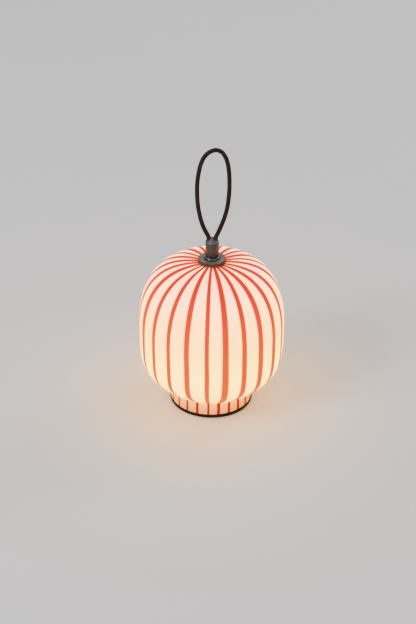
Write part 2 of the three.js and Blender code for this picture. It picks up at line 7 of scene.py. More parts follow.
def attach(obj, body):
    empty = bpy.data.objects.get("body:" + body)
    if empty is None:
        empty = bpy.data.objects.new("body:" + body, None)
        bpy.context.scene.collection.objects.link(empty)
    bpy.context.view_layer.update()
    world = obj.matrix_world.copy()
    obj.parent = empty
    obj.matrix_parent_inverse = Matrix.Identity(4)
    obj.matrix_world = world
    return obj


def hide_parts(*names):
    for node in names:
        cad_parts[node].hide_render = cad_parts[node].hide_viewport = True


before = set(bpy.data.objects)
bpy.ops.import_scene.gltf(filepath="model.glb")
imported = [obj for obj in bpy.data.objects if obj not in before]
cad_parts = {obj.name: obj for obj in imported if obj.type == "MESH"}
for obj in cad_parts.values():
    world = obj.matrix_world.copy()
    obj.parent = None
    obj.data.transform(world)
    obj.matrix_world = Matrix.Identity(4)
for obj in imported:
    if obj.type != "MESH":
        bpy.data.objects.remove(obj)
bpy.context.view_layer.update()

# All lengths are in metres. +Z is up, the lamp stands on z = 0 and its axis is the Z axis.
MM = 0.001


# ---- camera ----
CAMERA_PLACE = Vector((0, -1.8925, 1.2643))
SIGHT_POINT = Vector((-0.0045, 0.0102, 0.1165))
CAMERA_ROLL = math.radians(0.37)
CAMERA_LENS = 104


def set_up_camera():
    """Looks down on the lamp from the front with a long lens."""
    camera = bpy.data.cameras.new("camera")
    camera.lens = CAMERA_LENS
    holder = bpy.data.objects.new("camera", camera)
    bpy.context.scene.collection.objects.link(holder)
    holder.location = CAMERA_PLACE
    holder.rotation_mode = "QUATERNION"
    aim = (SIGHT_POINT - CAMERA_PLACE).to_track_quat("-Z", "Y")
    holder.rotation_quaternion = aim @ Quaternion((0, 0, 1), CAMERA_ROLL)
    bpy.context.scene.camera = holder


# ---- shader building ----
# a Mix node has a set of sockets for each kind of value; these are its colour ones
MIX_COLOUR_INPUTS = (0, 6, 7)
MIX_COLOUR_OUTPUT = 2


class Wire:
    """A shader socket that can stand in a Python expression."""

    def __init__(self, finish, socket):
        self.finish = finish
        self.socket = socket

    def math(self, operation, *others):
        return self.finish.node("Math", {"operation": operation}, [self, *others])

    def __add__(self, other):
        return self.math("ADD", other)

    def __sub__(self, other):
        return self.math("SUBTRACT", other)

    def __rsub__(self, other):
        return self.finish.node("Math", {"operation": "SUBTRACT"}, [other, self])

    def __mul__(self, other):
        return self.math("MULTIPLY", other)

    def __truediv__(self, other):
        return self.math("DIVIDE", other)

    def __rtruediv__(self, other):
        return self.finish.node("Math", {"operation": "DIVIDE"}, [other, self])

    __radd__ = __add__
    __rmul__ = __mul__


def set_stops(elements, stops):
    """Fills a colour ramp with stops, each a position from 0 to 1 and a colour."""
    while len(elements) < len(stops):
        elements.new(1.0)
    for element, (position, colour) in zip(elements, stops):
        element.position = position
        element.color = (*colour, 1)


class Finish:
    """A material in the making, with a Principled shader and the expressions that feed it."""

    def __init__(self, name, **constants):
        self.material = bpy.data.materials.new(name)
        self.material.use_nodes = True
        self.tree = self.material.node_tree
        self.shader = self.tree.nodes["Principled BSDF"]
        for socket, value in constants.items():
            self.feed(socket.replace("_", " "), value)

    def node(self, kind, settings=None, values=None, output=0):
        """Any node: its settings are made first, then its sockets get values or links."""
        made = self.tree.nodes.new("ShaderNode" + kind)
        for key, value in (settings or {}).items():
            if key == "stops":
                set_stops(made.color_ramp.elements, value)
            else:
                setattr(made, key, value)
        pairs = values.items() if isinstance(values, dict) else enumerate(values or [])
        for key, value in pairs:
            self.join(made.inputs[key], value)
        return Wire(self, made.outputs[output])

    def join(self, socket, value):
        if isinstance(value, Wire):
            self.tree.links.new(value.socket, socket)
        elif socket.type == "RGBA" and len(value) == 3:
            socket.default_value = (*value, 1)
        else:
            socket.default_value = value

    def feed(self, socket, value):
        self.join(self.shader.inputs[socket], value)

    def place(self):
        return self.node("TexCoord", output="Object")

    def split(self, vector):
        return [self.node("SeparateXYZ", values=[vector], output=i) for i in range(3)]

    def vector(self, x, y, z):
        return self.node("CombineXYZ", values=[x, y, z])

    def noise(self, vector, scale, detail=2.0, roughness=0.5):
        values = {"Vector": vector, "Scale": scale, "Detail": detail, "Roughness": roughness}
        return self.node("TexNoise", values=values)

    def mix(self, share, low, high):
        """A colour between low and high, by a share from 0 to 1."""
        inputs = dict(zip(MIX_COLOUR_INPUTS, (share, low, high)))
        return self.node("Mix", {"data_type": "RGBA"}, inputs, MIX_COLOUR_OUTPUT)

    def tint(self, colour, factor):
        """A colour made lighter or darker by a factor."""
        scaled = {0: colour, "Scale": factor}
        return self.node("VectorMath", {"operation": "SCALE"}, scaled)

    def range(self, value, low, high, to_low=0.0, to_high=1.0, smooth=True):
        shape = {"interpolation_type": "SMOOTHSTEP" if smooth else "LINEAR"}
        return self.node("MapRange", shape, [value, low, high, to_low, to_high])

    def bump(self, height, strength, distance):
        values = {"Strength": strength, "Distance": distance, "Height": height}
        self.feed("Normal", self.node("Bump", values=values))

    def ramp(self, value, stops):
        """A colour that changes as the value goes from 0 to 1."""
        return self.node("ValToRGB", {"stops": stops}, [value])


# ---- braided cord ----
CORD_RADIUS = 0.00265
STRANDS = 10  # each way round
STRAND_RISE = 0.00175  # along the cord from one strand to the next
BRAID_RELIEF = 0.00045
MEAN_HEIGHT = 0.75  # the strand height at which the cord has its nominal radius
STRAND_ROUNDNESS = 0.96
OVER_AND_UNDER = 0.45  # how much higher a strand is where it passes over another
GAP_HEIGHT = 0.25
HEIGHT_SPAN = 1.2  # from the gaps to the highest crowns
SHOULDER = 0.2215  # height of the post's shoulder
BORE_MOUTH = Vector((0.004243, 0, 0.224905))
BORE_LEAN = 0.105
CORD_INSERTION = 0.0087
# the loop's centreline outside its bores: (across, height above the post's shoulder)
CORD_ROUTE = [
    (-0.0047, 0.007), (-0.0065, 0.0105), (-0.0093, 0.0162), (-0.0118, 0.0228),
    (-0.0138, 0.0296), (-0.0154, 0.0368), (-0.0167, 0.0443), (-0.0176, 0.0521),
    (-0.0181, 0.0603), (-0.0183, 0.0685), (-0.0181, 0.077), (-0.0173, 0.0858),
    (-0.0159, 0.0944), (-0.0138, 0.1032), (-0.01, 0.112), (-0.0038, 0.1184), (0.0032, 0.1211),
    (0.0097, 0.119), (0.0143, 0.113), (0.0171, 0.1053), (0.0187, 0.0967), (0.0195, 0.0879),
    (0.0198, 0.0791), (0.0198, 0.0701), (0.0193, 0.0613), (0.0185, 0.0527), (0.0173, 0.0446),
    (0.0156, 0.0368), (0.0135, 0.0296), (0.0112, 0.0229), (0.0087, 0.0163), (0.0064, 0.0105),
    (0.0047, 0.007),
]
CORD_AROUND = 60  # points round the cord
CORD_STEP = 0.00029
CURVE_STEPS = 12  # between two points of the route
# the cover's fibres, round the cord and along it
FIBRES = (60, 900)
BRAID_BLACK = (0.007, 0.0035, 0.003)
BRAID_BROWN = (0.021, 0.0105, 0.0085)
BRAID_WORN = (0.032, 0.018, 0.015)


def cord_points():
    """The cord's route from inside the left bore, round the loop and into the right bore."""
    into = Vector((-math.sin(BORE_LEAN), 0, -math.cos(BORE_LEAN)))
    ends = [BORE_MOUTH + into * depth for depth in (CORD_INSERTION, CORD_INSERTION / 2, 0)]
    left = [Vector((-p.x, 0, p.z)) for p in ends]
    above = [Vector((across, 0, SHOULDER + rise)) for across, rise in CORD_ROUTE]
    return left + above + ends[::-1]


def smooth_line(points):
    """A centripetal Catmull-Rom curve through the points."""
    first = points[0] * 2 - points[1]
    last = points[-1] * 2 - points[-2]
    chain = [first, *points, last]
    line = []
    for i in range(1, len(chain) - 2):
        p0, p1, p2, p3 = chain[i - 1 : i + 3]
        gaps = [math.sqrt((b - a).length) for a, b in ((p0, p1), (p1, p2), (p2, p3))]
        slope1 = (p1 - p0) / gaps[0] - (p2 - p0) / (gaps[0] + gaps[1]) + (p2 - p1) / gaps[1]
        slope2 = (p2 - p1) / gaps[1] - (p3 - p1) / (gaps[1] + gaps[2]) + (p3 - p2) / gaps[2]
        m1, m2 = slope1 * gaps[1], slope2 * gaps[1]
        for k in range(CURVE_STEPS):
            t = k / CURVE_STEPS
            line.append(
                p1 * (2 * t**3 - 3 * t**2 + 1) + m1 * (t**3 - 2 * t**2 + t)
                + p2 * (3 * t**2 - 2 * t**3) + m2 * (t**3 - t**2)
            )
    return line + [points[-1]]


def spaced_evenly(line, step):
    """Points along the line about a step apart, and the line's length."""
    travelled = [0.0]
    for a, b in zip(line, line[1:]):
        travelled.append(travelled[-1] + (b - a).length)
    count = round(travelled[-1] / step)
    out, i = [], 0
    for k in range(count + 1):
        wanted = travelled[-1] * k / count
        while i < len(line) - 2 and travelled[i + 1] < wanted:
            i += 1
        share = (wanted - travelled[i]) / (travelled[i + 1] - travelled[i])
        out.append(line[i].lerp(line[i + 1], share))
    return out, travelled[-1]


def strand_height(turn, along):
    """Height of a one-over-one braid, 0 in the gaps and 1 on the crowns; turn runs 0 to 1."""
    right = STRANDS * turn + along / STRAND_RISE
    left = STRANDS * turn - along / STRAND_RISE
    over = math.pi * (left - 0.5 + math.floor(right))
    under = math.pi * (right - 0.5 + math.floor(left))
    best = -1.0
    for across, lift in ((right, math.cos(over)), (left, -math.cos(under))):
        aside = 2 * (across - math.floor(across) - 0.5)
        round_top = math.sqrt(max(0.0, 1 - STRAND_ROUNDNESS * aside * aside))
        best = max(best, round_top + OVER_AND_UNDER * lift)
    return max(0.0, min(1.0, (best - GAP_HEIGHT) / HEIGHT_SPAN))


def braid_cord():
    """The carrying loop as one tube with the braid in its surface."""
    line, length = spaced_evenly(smooth_line(cord_points()), CORD_STEP)
    vertices, crowns = [], []
    for i, centre in enumerate(line):
        forward = (line[min(i + 1, len(line) - 1)] - line[max(i - 1, 0)]).normalized()
        side = Vector((0, 1, 0))
        up = forward.cross(side)
        for k in range(CORD_AROUND):
            turn = k / CORD_AROUND
            crown = strand_height(turn, i * CORD_STEP)
            radius = CORD_RADIUS + BRAID_RELIEF * (crown - MEAN_HEIGHT)
            angle = 2 * math.pi * turn
            vertices.append(centre + (side * math.cos(angle) + up * math.sin(angle)) * radius)
            crowns.append(crown)
    faces, coordinates = [], []
    for i in range(len(line) - 1):
        for k in range(CORD_AROUND):
            after = (k + 1) % CORD_AROUND
            low, high = i * CORD_AROUND, (i + 1) * CORD_AROUND
            faces.append((low + k, low + after, high + after, high + k))
            corners = ((k, i), (k + 1, i), (k + 1, i + 1), (k, i + 1))
            coordinates += [(a / CORD_AROUND, b * CORD_STEP / length) for a, b in corners]
    for ring, outward in ((0, True), (len(line) - 1, False)):
        middle = len(vertices)
        vertices.append(line[ring])
        crowns.append(0.5)
        for k in range(CORD_AROUND):
            edge = (ring * CORD_AROUND + k, ring * CORD_AROUND + (k + 1) % CORD_AROUND)
            faces.append((edge[1], edge[0], middle) if outward else (edge[0], edge[1], middle))
            coordinates += [(0, 0)] * 3
    mesh = bpy.data.meshes.new("braided_cord_loop")
    mesh.from_pydata(vertices, [], faces)
    layer = mesh.uv_layers.new(name="along_the_cord")
    for loop, pair in zip(layer.data, coordinates):
        loop.uv = pair
    crown_layer = mesh.attributes.new("crown", "FLOAT", "POINT")
    crown_layer.data.foreach_set("value", crowns)
    mesh.shade_smooth()
    cord = bpy.data.objects.new("braided_cord_loop", mesh)
    bpy.context.scene.collection.objects.link(cord)
    mesh.materials.append(cord_cover())
    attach(cord, "swivel")
    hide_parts("cord_loop")


def cord_cover():
    """Waxed dark brown braid: fibres along each strand, with painted shade darkening the gaps
    between strands.
    """
    cover = Finish("waxed_braid", Roughness=0.6, Specular_IOR_Level=0.16)
    crown = cover.node("Attribute", {"attribute_name": "crown"}, output="Fac")
    uv = cover.node("TexCoord", output="UV")
    around, along, _ = cover.split(uv)
    lay = cover.vector(around * FIBRES[0], along * FIBRES[1], 0)
    fibres = cover.noise(lay, 1.0, 3.0, 0.6)
    wear = cover.noise(cover.place(), 160, 2.0)
    dark = cover.mix(fibres, BRAID_BLACK, BRAID_BROWN)
    worn = cover.mix(cover.range(wear, 0.5, 0.75), dark, BRAID_WORN)
    # painted shade: the colour darkens from the strands' crowns down into the gaps
    painted_gap_shade = cover.range(crown, 0.0, 0.7, 0.25, 1.0)
    cover.feed("Base Color", cover.tint(worn, painted_gap_shade))
    cover.feed("Roughness", cover.range(fibres, 0.3, 0.7, 0.5, 0.78))
    cover.bump(fibres, 0.35, 0.0002)
    return cover.material


set_up_camera()
braid_cord()


# ---- modelling helpers ----
def deselect_all():
    if bpy.context.object and bpy.context.object.mode != "OBJECT":
        bpy.ops.object.mode_set(mode="OBJECT")
    bpy.ops.object.select_all(action="DESELECT")


def select_only(piece):
    deselect_all()
    piece.select_set(True)
    bpy.context.view_layer.objects.active = piece


def turn_up(name, profile, facets):
    """A body turned about the Z axis from (radius, height) points."""
    deselect_all()
    bpy.ops.mesh.primitive_plane_add(size=MM, location=(0, 0, 0))
    piece = bpy.context.object
    piece.name = piece.data.name = name
    bpy.ops.object.mode_set(mode="EDIT")
    bpy.ops.mesh.select_all(action="SELECT")
    bpy.ops.mesh.merge(type="CENTER")
    radius, height = profile[0]
    bpy.ops.transform.translate(value=(radius, 0, height))
    for following in profile[1:]:
        step = (following[0] - radius, 0, following[1] - height)
        bpy.ops.mesh.extrude_region_move(TRANSFORM_OT_translate={"value": step})
        radius, height = following
    bpy.ops.mesh.select_all(action="SELECT")
    bpy.ops.mesh.spin(steps=facets, angle=2 * math.pi, center=(0, 0, 0), axis=(0, 0, 1))
    close_up()
    bpy.ops.object.mode_set(mode="OBJECT")
    return piece


def close_up():
    """Merges doubles and turns every face outwards, in edit mode."""
    bpy.ops.mesh.select_all(action="SELECT")
    bpy.ops.mesh.remove_doubles(threshold=MM / 100)
    bpy.ops.mesh.select_all(action="SELECT")
    bpy.ops.mesh.normals_make_consistent(inside=False)


def smooth(piece, degrees):
    """Shades a piece smooth, apart from edges sharper than the angle."""
    select_only(piece)
    bpy.ops.object.shade_smooth_by_angle(angle=math.radians(degrees))


def cut_away(piece, tool):
    """Cuts the tool's shape out of the piece, and removes the tool."""
    select_only(piece)
    cutter = piece.modifiers.new("cut", "BOOLEAN")
    cutter.operation = "DIFFERENCE"
    cutter.solver = "EXACT"
    cutter.object = tool
    bpy.ops.object.modifier_apply(modifier=cutter.name)
    bpy.data.objects.remove(tool)


def fit_to_lamp(piece, body, finish, node):
    """Gives a new piece its finish, and puts it in the place of its CAD node."""
    piece.data.materials.clear()
    piece.data.materials.append(finish)
    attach(piece, body)
    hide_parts(node)


def bezier(start, pull_start, pull_end, end, steps):
    """The points of a cubic curve after its start, in (radius, height)."""
    points = []
    for i in range(1, steps + 1):
        t = i / steps
        weights = ((1 - t) ** 3, 3 * t * (1 - t) ** 2, 3 * t * t * (1 - t), t**3)
        corners = (start, pull_start, pull_end, end)
        points.append(tuple(sum(w * c[k] for w, c in zip(weights, corners)) for k in (0, 1)))
    return points


# ---- globe ----
GLOBE_RADIUS = 0.089
EQUATOR = 0.1092
NECK_RADIUS = 0.0503
NECK_TOP = 0.0205
NECK_FILLET = 0.0025
LIP = 0.0046
LIP_ROUND = 0.0006
LIP_RINGS = (1, 2, 3)  # rings of points up the neck
LIP_RING_RISE = 0.0033
TOP_SEAT = 0.1932
SEAT_RADIUS = 0.01744
TOP_HOLE = 0.0099
GLASS_WALL = 0.003
BELLY_SLOPE = 0.666
BELLY_PULL = (0.058, 0.0477)
DOME_SLOPE = 0.01
DOME_PULL = (0.0745, 0.03)
GLASS_FACETS = 192
FILLET_POINTS, BELLY_POINTS, DOME_POINTS = 6, 26, 40


def glass_outline():
    """The glass's outside in (radius, height), from its lip to its top hole."""
    leave = (math.cos(BELLY_SLOPE), math.sin(BELLY_SLOPE))
    start = (NECK_RADIUS + NECK_FILLET * leave[0], NECK_TOP + NECK_FILLET * leave[1])
    corner = (NECK_RADIUS, NECK_TOP)
    points = [(NECK_RADIUS - LIP_ROUND, LIP), (NECK_RADIUS, LIP + LIP_ROUND)]
    points += [(NECK_RADIUS, LIP + k * LIP_RING_RISE) for k in LIP_RINGS]
    below = (NECK_RADIUS, NECK_TOP - NECK_FILLET)
    points += [below, *bezier(below, corner, corner, start, FILLET_POINTS)]
    points += bezier(
        start,
        (NECK_RADIUS + BELLY_PULL[1] * leave[0], NECK_TOP + BELLY_PULL[1] * leave[1]),
        (GLOBE_RADIUS, EQUATOR - BELLY_PULL[0]),
        (GLOBE_RADIUS, EQUATOR),
        BELLY_POINTS,
    )
    points += bezier(
        (GLOBE_RADIUS, EQUATOR),
        (GLOBE_RADIUS, EQUATOR + DOME_PULL[0]),
        (
            SEAT_RADIUS + DOME_PULL[1] * math.cos(DOME_SLOPE),
            TOP_SEAT - DOME_PULL[1] * math.sin(DOME_SLOPE),
        ),
        (SEAT_RADIUS, TOP_SEAT),
        DOME_POINTS,
    )
    return points + [(TOP_HOLE, TOP_SEAT)]


def inset(points, wall):
    """The same line moved inward by the wall, square to the line at each point."""
    moved = []
    for i, (radius, height) in enumerate(points):
        before = points[max(i - 1, 0)]
        after = points[min(i + 1, len(points) - 1)]
        run, rise = after[0] - before[0], after[1] - before[1]
        length = math.hypot(run, rise)
        moved.append((radius - wall * rise / length, height + wall * run / length))
    return moved


def blow_globe():
    """The opal glass with its wall, straight at the neck and flat at the top seat."""
    outside = glass_outline()
    inside = inset(outside, GLASS_WALL)
    inside[0] = (NECK_RADIUS - GLASS_WALL, LIP)
    inside[1] = (NECK_RADIUS - GLASS_WALL, LIP + LIP_ROUND)
    inside[-1] = (TOP_HOLE, TOP_SEAT - GLASS_WALL)
    inside[-2] = (SEAT_RADIUS, TOP_SEAT - GLASS_WALL)
    globe = turn_up("striped_globe", [*outside, *inside[::-1], outside[0]], GLASS_FACETS)
    smooth(globe, 40)
    fit_to_lamp(globe, "lamp", striped_glass(), "glass_shade")


# the stripes fused into the glass: (degrees round from the front, width in degrees)
STRIPES = [
    (-99, 3.4), (-84, 3.2), (-68, 3.6), (-51.5, 2.9), (-35.5, 3.0), (-19.5, 3.7), (-3.5, 3.0),
    (11, 4.2), (26.5, 3.4), (42, 3.8), (58, 3.5), (74.5, 3.4), (93, 3.5), (108, 3.0),
    (123, 3.9), (138, 3.3), (153, 3.6), (168, 3.0), (183, 3.7), (198, 3.2), (214, 3.9),
    (230, 3.1), (245.5, 3.6),
]
# stripes narrow less than the glass does towards its top and neck
STRIPE_SPREAD = 0.042
STRIPE_SHARE = 0.88
# how heavy the stripes are: the same all round, more to the back, and more to the sides
HEAVINESS, HEAVIER_BACK, HEAVIER_SIDES = 1.2, 0.2, 0.6
STRIPE_SWAY = 1.1  # degrees
NECK_PINCH = 0.64  # a stripe's width on the neck, as a share of its width on the globe
STRIPE_RED = (0.36, 0.006, 0.002)
OPAL_CREAM = (0.5, 0.34, 0.16)
OPAL_ORANGE = (0.5, 0.2, 0.03)
# light that comes through the glass, by height as a share of the glow's reach
GLOW = 8.4
GLOW_REACH = 0.2
GROUND_GLOW = [
    (0.02, (0.13, 0.025, 0.0)), (0.045, (0.17, 0.04, 0.0)), (0.09, (0.33, 0.085, 0.0)),
    (0.115, (0.5, 0.22, 0.0)), (0.175, (0.68, 0.34, 0.0)), (0.3, (0.92, 0.5, 0.0)),
    (0.38, (0.92, 0.53, 0.0)), (0.5, (0.92, 0.46, 0.0)), (0.6, (0.9, 0.37, 0.01)),
    (0.75, (0.98, 0.36, 0.04)), (0.85, (0.96, 0.35, 0.1)), (0.925, (0.86, 0.29, 0.11)),
    (0.965, (0.68, 0.23, 0.1)),
]
STRIPE_GLOW = [
    (0.02, (0.02, 0.0, 0.0)), (0.09, (0.035, 0.0, 0.0)), (0.175, (0.135, 0.018, 0.0)),
    (0.5, (0.14, 0.013, 0.0)), (0.75, (0.135, 0.006, 0.0)), (0.88, (0.12, 0.0, 0.0)),
    (0.97, (0.09, 0.0, 0.0)),
]
FRINGE_GLOW = [
    (0.02, (0.09, 0.01, 0.0)), (0.12, (0.3, 0.07, 0.0)), (0.3, (0.46, 0.17, 0.0)),
    (0.6, (0.46, 0.14, 0.0)), (0.85, (0.4, 0.11, 0.02)), (0.97, (0.26, 0.07, 0.02)),
]


def striped_glass():
    """Satin opal glass lit from low inside, with orange-red stripes fused into it."""
    glass = Finish("striped_opal_glass", Specular_IOR_Level=0.05, Emission_Strength=1.0)
    x, y, height = glass.split(glass.place())
    degrees = glass.node("Math", {"operation": "ARCTAN2"}, [x, y * -1]) * (180 / math.pi)
    sway = glass.noise(glass.vector(x * 7, y * 7, height * 16), 1.0, 1.0) - 0.5
    degrees = degrees + sway * STRIPE_SWAY
    nearest = None
    for centre, width in STRIPES:
        off = (degrees - centre).math("PINGPONG", 180) * (2 / width)
        nearest = off if nearest is None else nearest.math("MINIMUM", off)
    swell = glass.noise(glass.vector(x * 9, y * 9, height * 11), 1.0, 1.0)
    pinch = glass.range(height, 0.016, 0.03, NECK_PINCH, 1.0)
    radius = (x * x + y * y).math("SQRT")
    across, back = x / radius, y / radius
    heavier = HEAVINESS + back * HEAVIER_BACK + across * across * HEAVIER_SIDES
    spread = (radius + heavier * STRIPE_SPREAD) / radius * STRIPE_SHARE
    nearest = nearest / (glass.range(swell, 0.3, 0.7, 0.9, 1.1) * pinch * spread)
    level = glass.range(height, 0.0, GLOW_REACH, 0.0, 1.0, smooth=False)
    ground = glass.ramp(level, GROUND_GLOW)
    line = glass.ramp(level, STRIPE_GLOW)
    fringe = glass.ramp(level, FRINGE_GLOW)
    streaks = glass.noise(glass.vector(x * 900, y * 900, height * 14), 1.0, 2.0)
    cloud = glass.noise(glass.place(), 22, 3.0)
    veil = glass.range(streaks, 0.2, 0.8, 0.97, 1.03) * glass.range(cloud, 0.2, 0.8, 0.96, 1.04)
    halo = glass.range(nearest, 0.95, 1.5, 0.75, 0.0)
    core = glass.range(nearest, 0.8, 1.08, 1.0, 0.0)
    lit = glass.mix(core, glass.mix(halo, ground, fringe), line)
    glass.feed("Emission Color", glass.tint(glass.tint(lit, GLOW), veil))
    body = glass.mix(halo, OPAL_CREAM, OPAL_ORANGE)
    glass.feed("Base Color", glass.mix(core, body, STRIPE_RED))
    glass.feed("Roughness", glass.range(cloud, 0.2, 0.8, 0.33, 0.43))
    glass.bump(streaks, 0.12, 0.0003)
    return glass.material


# ---- metal fittings ----
NUT_RADIUS = 0.01694
NUT_BOTTOM = 0.1948
NUT_TOP = 0.1992
NUT_BORE = 0.00934
NUT_LIP = 0.0006
KNURLS = 60
KNURL_DEPTH = 0.0005
CHAMFER_WIDTH = 0.0007
CHAMFER_ABOVE, CHAMFER_BELOW = 0.00045, 0.0003
BUSH_RADIUS = 0.009
THREAD_PITCH = 0.001
THREAD_DEPTH = 0.0006
POST_RADIUS = 0.00829
POST_BOTTOM = 0.2022
CROWN = 0.2278
TIP_RADIUS = 0.0022
TIP_DROP = 0.0013
BORE_RADIUS = 0.00295
BORE_DEPTH = 0.009
TURNED_FACETS = 96
HOLE_FACETS = 128
NEARLY_UPRIGHT = 0.9  # the upward part of a flat end's normal is more than this
BROKEN_EDGE = 0.0003  # the small chamfer on a turned edge
LATHE_MARKS = 5200  # fine turned rings in a metre
# painted shade and painted highlight for the knurled rim: how dark the colour is made beyond the
# rim's radius, and how much the outermost ridges are lightened
KNURL_PAINTED_SHADE, KNURL_PAINTED_HIGHLIGHT = 0.2, 0.3  # how dark the knurl is, and how much its ridges lift it


def turned_metal(
    name, colour, roughness, patina=0.35, worn=(0.3, 0.27, 0.25), metallic=1.0, rim=None,
    crown=None,
):
    """Metal turned on a lathe: fine rings round the axis, a mottled patina and rubbed spots.

    Outside the radius of its rim the metal is darker, as painted shade, and the knurl's ridges
    are lightened as a painted highlight; above the post's shoulder it has the lighter colour of
    the crown, painted light on its top."""
    metal = Finish(name, Metallic=metallic)
    place = metal.place()
    x, y, height = metal.split(place)
    radius = (x * x + y * y).math("SQRT")
    marks = metal.vector(radius * LATHE_MARKS, height * LATHE_MARKS, 0)
    rings = metal.noise(marks, 1.0, 2.0)
    mottle = metal.noise(place, 190, 4.0, 0.65)
    rubs = metal.range(metal.noise(place, 75, 5.0, 0.7), 0.56, 0.72)
    toned = metal.tint(colour, metal.range(mottle, 0.25, 0.75, 1 - patina, 1 + patina))
    coloured = metal.mix(rubs * 0.45, toned, worn)
    if rim:
        # painted shade beyond the rim's radius, and a painted highlight on the knurl's outermost
        # ridges
        painted_rim_shade = metal.range(radius, rim, rim + 0.0003, 1.0, KNURL_PAINTED_SHADE)
        painted_ridge_highlight = metal.range(radius, rim + 0.0005, rim + 0.0008, 0.0, KNURL_PAINTED_HIGHLIGHT)
        coloured = metal.tint(coloured, painted_rim_shade + painted_ridge_highlight)
    if crown:
        # painted light: above the shoulder the colour turns to the lighter crown colour, a
        # painted highlight on the post's upturned top
        above = metal.range(height, SHOULDER - 0.0002, SHOULDER + 0.0004)
        shades = metal.range(mottle, 0.3, 0.7, 0.7, 1.2)
        coloured = metal.mix(above, coloured, metal.tint(crown, shades))
    metal.feed("Base Color", coloured)
    metal.feed("Roughness", metal.range(mottle, 0.25, 0.75, roughness - 0.07, roughness + 0.09))
    metal.bump(rings + mottle * 0.5, 0.22, 0.00012)
    return metal.material


def knurl_nut(finish):
    """A low ring nut with a finely knurled rim, chamfered edges and a stepped inner lip."""
    deselect_all()
    height = NUT_TOP - NUT_BOTTOM
    bpy.ops.mesh.primitive_cylinder_add(
        vertices=2 * KNURLS, radius=NUT_RADIUS, depth=height, end_fill_type="NGON",
        location=(0, 0, 0),
    )
    nut = bpy.context.object
    nut.name = nut.data.name = "knurled_ring_nut"
    for vertex in nut.data.vertices:
        position = round(math.atan2(vertex.co.y, vertex.co.x) * KNURLS / math.pi)
        vertex.select = position % 2 == 1
    for element in (*nut.data.edges, *nut.data.polygons):
        element.select = False
    bpy.ops.object.mode_set(mode="EDIT")
    bpy.ops.mesh.select_mode(type="VERT")
    groove = 1 - KNURL_DEPTH / NUT_RADIUS
    bpy.ops.transform.resize(value=(groove, groove, 1), center_override=(0, 0, 0))
    bpy.ops.mesh.select_all(action="SELECT")
    bpy.ops.transform.translate(value=(0, 0, (NUT_TOP + NUT_BOTTOM) / 2))
    for way, level, chamfer in ((1, NUT_TOP, CHAMFER_ABOVE), (-1, NUT_BOTTOM, CHAMFER_BELOW)):
        pick_end(nut, way)
        bpy.ops.mesh.inset(thickness=CHAMFER_WIDTH, depth=0)
        pick_rim(nut, level)
        bpy.ops.transform.translate(value=(0, 0, -way * chamfer))
    bpy.ops.object.mode_set(mode="OBJECT")
    hole = turn_up("nut_hole", nut_hole_profile(), HOLE_FACETS)
    cut_away(nut, hole)
    smooth(nut, 28)
    fit_to_lamp(nut, "nut", finish, "knurled_nut")


def pick_end(piece, way):
    """Selects the flat end that looks up (1) or down (-1), in edit mode."""
    bpy.ops.mesh.select_mode(type="FACE")
    bpy.ops.mesh.select_all(action="DESELECT")
    bpy.ops.object.mode_set(mode="OBJECT")
    for face in piece.data.polygons:
        face.select = face.normal.z * way > NEARLY_UPRIGHT
    bpy.ops.object.mode_set(mode="EDIT")


def pick_rim(nut, level):
    """Selects the knurled edge outside an inset end, in edit mode."""
    bpy.ops.object.mode_set(mode="OBJECT")
    rim = NUT_RADIUS - KNURL_DEPTH - MM / 20
    for element in (*nut.data.edges, *nut.data.polygons):
        element.select = False
    for vertex in nut.data.vertices:
        on_rim = math.hypot(vertex.co.x, vertex.co.y) > rim
        vertex.select = on_rim and abs(vertex.co.z - level) < MM / 100
    bpy.ops.object.mode_set(mode="EDIT")
    bpy.ops.mesh.select_mode(type="VERT")


def nut_hole_profile():
    """The nut's bore, which opens in a sloping lip at the top."""
    lip, over = NUT_BORE + NUT_LIP, NUT_TOP + 0.0002
    return [
        (0, NUT_BOTTOM - MM), (NUT_BORE, NUT_BOTTOM - MM), (NUT_BORE, NUT_TOP - 0.0007),
        (lip, NUT_TOP - 0.0004), (lip + 0.0004, over), (0, over),
    ]


def turn_bush(finish):
    """The polished bush that the post turns in, threaded below its flange."""
    top, web, bottom = 0.2015, 0.1896, 0.172
    chamber, hole, flange = 0.007, 0.005, 0.01694
    flange_top, flange_bottom = 0.1892, 0.1867
    round_off = 0.0009
    root = BUSH_RADIUS - THREAD_DEPTH
    rounded = bezier(
        (BUSH_RADIUS, top - round_off), (BUSH_RADIUS, top - round_off / 2),
        (BUSH_RADIUS - round_off / 2, top), (BUSH_RADIUS - round_off, top), 6,
    )
    profile = [(chamber, bottom), (root, bottom)]
    turns = int((flange_bottom - THREAD_PITCH - bottom) / THREAD_PITCH)
    for i in range(turns):
        low = bottom + THREAD_PITCH / 2 + i * THREAD_PITCH
        profile += [(BUSH_RADIUS, low + THREAD_PITCH * 0.25), (root, low + THREAD_PITCH * 0.75)]
    profile += [
        (BUSH_RADIUS, flange_bottom - BROKEN_EDGE), (BUSH_RADIUS + BROKEN_EDGE, flange_bottom),
        (flange - BROKEN_EDGE, flange_bottom), (flange, flange_bottom + BROKEN_EDGE),
        (flange, flange_top - BROKEN_EDGE), (flange - BROKEN_EDGE, flange_top),
        (BUSH_RADIUS, flange_top), (BUSH_RADIUS, top - round_off), *rounded,
        (hole + BROKEN_EDGE, top), (hole, top - BROKEN_EDGE), (hole, web), (chamber, web),
        (chamber, bottom),
    ]
    bush = turn_up("polished_bush", profile, TURNED_FACETS)
    smooth(bush, 30)
    fit_to_lamp(bush, "lamp", finish, "threaded_bush")


